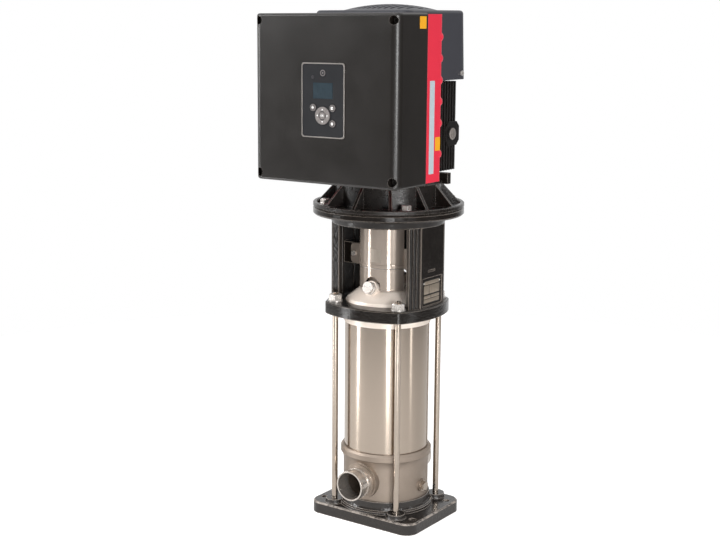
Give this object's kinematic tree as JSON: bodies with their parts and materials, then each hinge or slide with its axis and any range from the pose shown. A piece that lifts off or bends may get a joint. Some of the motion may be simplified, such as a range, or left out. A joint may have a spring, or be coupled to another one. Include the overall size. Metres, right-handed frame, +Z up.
{
  "type": "vertical multistage pump",
  "caption": "In-line vertical multistage pump: stainless sleeve and base on a cast plate, motor stool, flanged motor and variable-speed control box with a key panel.",
  "frame": {"origin": "centre of the base plate's underside, on the pump's shaft axis", "axes": "+Z up along the shaft, the inlet port points to -Y and the outlet port to +Y, the control box faces -Y, the drain plug faces +X"},
  "size_m": [0.328, 0.374, 1.031],
  "materials": {
    "cast_iron_black": "black painted casting",
    "cast_stainless": "satin cast stainless steel",
    "brushed_stainless": "brushed stainless sheet",
    "stainless_bar": "drawn stainless bar",
    "zinc_steel": "bright zinc plated",
    "pressed_stainless": "pressed stainless sheet",
    "bearing_plastic": "wear-resistant plastic and carbide",
    "rubber": "black sealing rubber",
    "seal_metal": "machined steel",
    "coupling_iron": "bare machined iron",
    "motor_black": "black painted aluminium",
    "lamination_steel": "stacked laminations",
    "copper_winding": "varnished copper wire",
    "turned_steel": "ground steel",
    "fan_plastic": "moulded plastic",
    "hood_grey": "dark grey painted sheet",
    "red_plastic": "moulded red plastic",
    "cover_black": "moulded charcoal plastic",
    "plug_black": "moulded plastic",
    "board_green": "coated circuit board",
    "panel_rim": "bright rim",
    "panel_dark": "dark panel film",
    "display_glass": "dark display window",
    "lamp_ring": "clear light ring",
    "key_grey": "light grey keys"
  },
  "bodies": {
    "pump": {"base_plate": "cast_iron_black", "motor_stool": "cast_iron_black", "motor_flange": "cast_iron_black", "pump_base": "cast_stainless", "pump_head": "cast_stainless", "outer_sleeve": "brushed_stainless", "coupling_guard_front": "brushed_stainless", "coupling_guard_rear": "brushed_stainless", "tie_rods": "stainless_bar", "vent_plug": "stainless_bar", "drain_plug": "stainless_bar", "tie_rod_washers": "zinc_steel", "tie_rod_nuts": "zinc_steel", "flange_bolts": "zinc_steel", "guard_screws": "zinc_steel", "hood_screws": "zinc_steel", "cover_screws": "zinc_steel", "stage_chambers": "pressed_stainless", "neck_rings": "bearing_plastic", "shaft_bush": "bearing_plastic", "seal_seat": "bearing_plastic", "sleeve_seals": "rubber", "stator_housing": "motor_black", "upper_end_shield": "motor_black", "stator_core": "lamination_steel", "stator_windings": "copper_winding", "bearing_outer_rings": "turned_steel", "fan_hood": "hood_grey", "converter_frame": "red_plastic", "control_cover": "cover_black", "blanking_plugs": "plug_black", "circuit_boards": "board_green", "panel_frame": "panel_rim", "panel_face": "panel_dark", "display_window": "display_glass", "status_lights": "lamp_ring"},
    "rotor": {"pump_shaft": "stainless_bar", "shaft_nut": "stainless_bar", "seal_rotor": "seal_metal", "coupling_half_front": "coupling_iron", "coupling_half_rear": "coupling_iron", "coupling_screws": "zinc_steel", "motor_shaft": "turned_steel", "rotor_core": "lamination_steel", "bearing_inner_rings": "turned_steel", "cooling_fan": "fan_plastic", "impeller_1": "pressed_stainless", "impeller_2": "pressed_stainless", "impeller_3": "pressed_stainless", "impeller_4": "pressed_stainless", "impeller_5": "pressed_stainless", "impeller_6": "pressed_stainless"},
    "left_key": {"left_key": "key_grey"},
    "right_key": {"right_key": "key_grey"},
    "home_key": {"home_key": "key_grey"},
    "arrow_key_up": {"arrow_key_up": "key_grey"},
    "arrow_key_right": {"arrow_key_right": "key_grey"},
    "arrow_key_down": {"arrow_key_down": "key_grey"},
    "arrow_key_left": {"arrow_key_left": "key_grey"},
    "ok_key": {"ok_key": "key_grey"}
  },
  "joints": [
    {"name": "rotor_spin", "type": "hinge", "parent": "pump", "child": "rotor", "pos_m": [0, 0, 0.55], "axis": [0, 0, 1], "continuous": true},
    {"name": "left_key_press", "type": "slide", "parent": "pump", "child": "left_key", "axis": [0, 1, 0], "range_m": [0, 0.0009], "stiffness_N_per_m": 900},
    {"name": "right_key_press", "type": "slide", "parent": "pump", "child": "right_key", "axis": [0, 1, 0], "range_m": [0, 0.0009], "stiffness_N_per_m": 900},
    {"name": "home_key_press", "type": "slide", "parent": "pump", "child": "home_key", "axis": [0, 1, 0], "range_m": [0, 0.0009], "stiffness_N_per_m": 900},
    {"name": "arrow_key_up_press", "type": "slide", "parent": "pump", "child": "arrow_key_up", "axis": [0, 1, 0], "range_m": [0, 0.0009], "stiffness_N_per_m": 900},
    {"name": "arrow_key_right_press", "type": "slide", "parent": "pump", "child": "arrow_key_right", "axis": [0, 1, 0], "range_m": [0, 0.0009], "stiffness_N_per_m": 900},
    {"name": "arrow_key_down_press", "type": "slide", "parent": "pump", "child": "arrow_key_down", "axis": [0, 1, 0], "range_m": [0, 0.0009], "stiffness_N_per_m": 900},
    {"name": "arrow_key_left_press", "type": "slide", "parent": "pump", "child": "arrow_key_left", "axis": [0, 1, 0], "range_m": [0, 0.0009], "stiffness_N_per_m": 900},
    {"name": "ok_key_press", "type": "slide", "parent": "pump", "child": "ok_key", "axis": [0, 1, 0], "range_m": [0, 0.0009], "stiffness_N_per_m": 900}
  ]
}
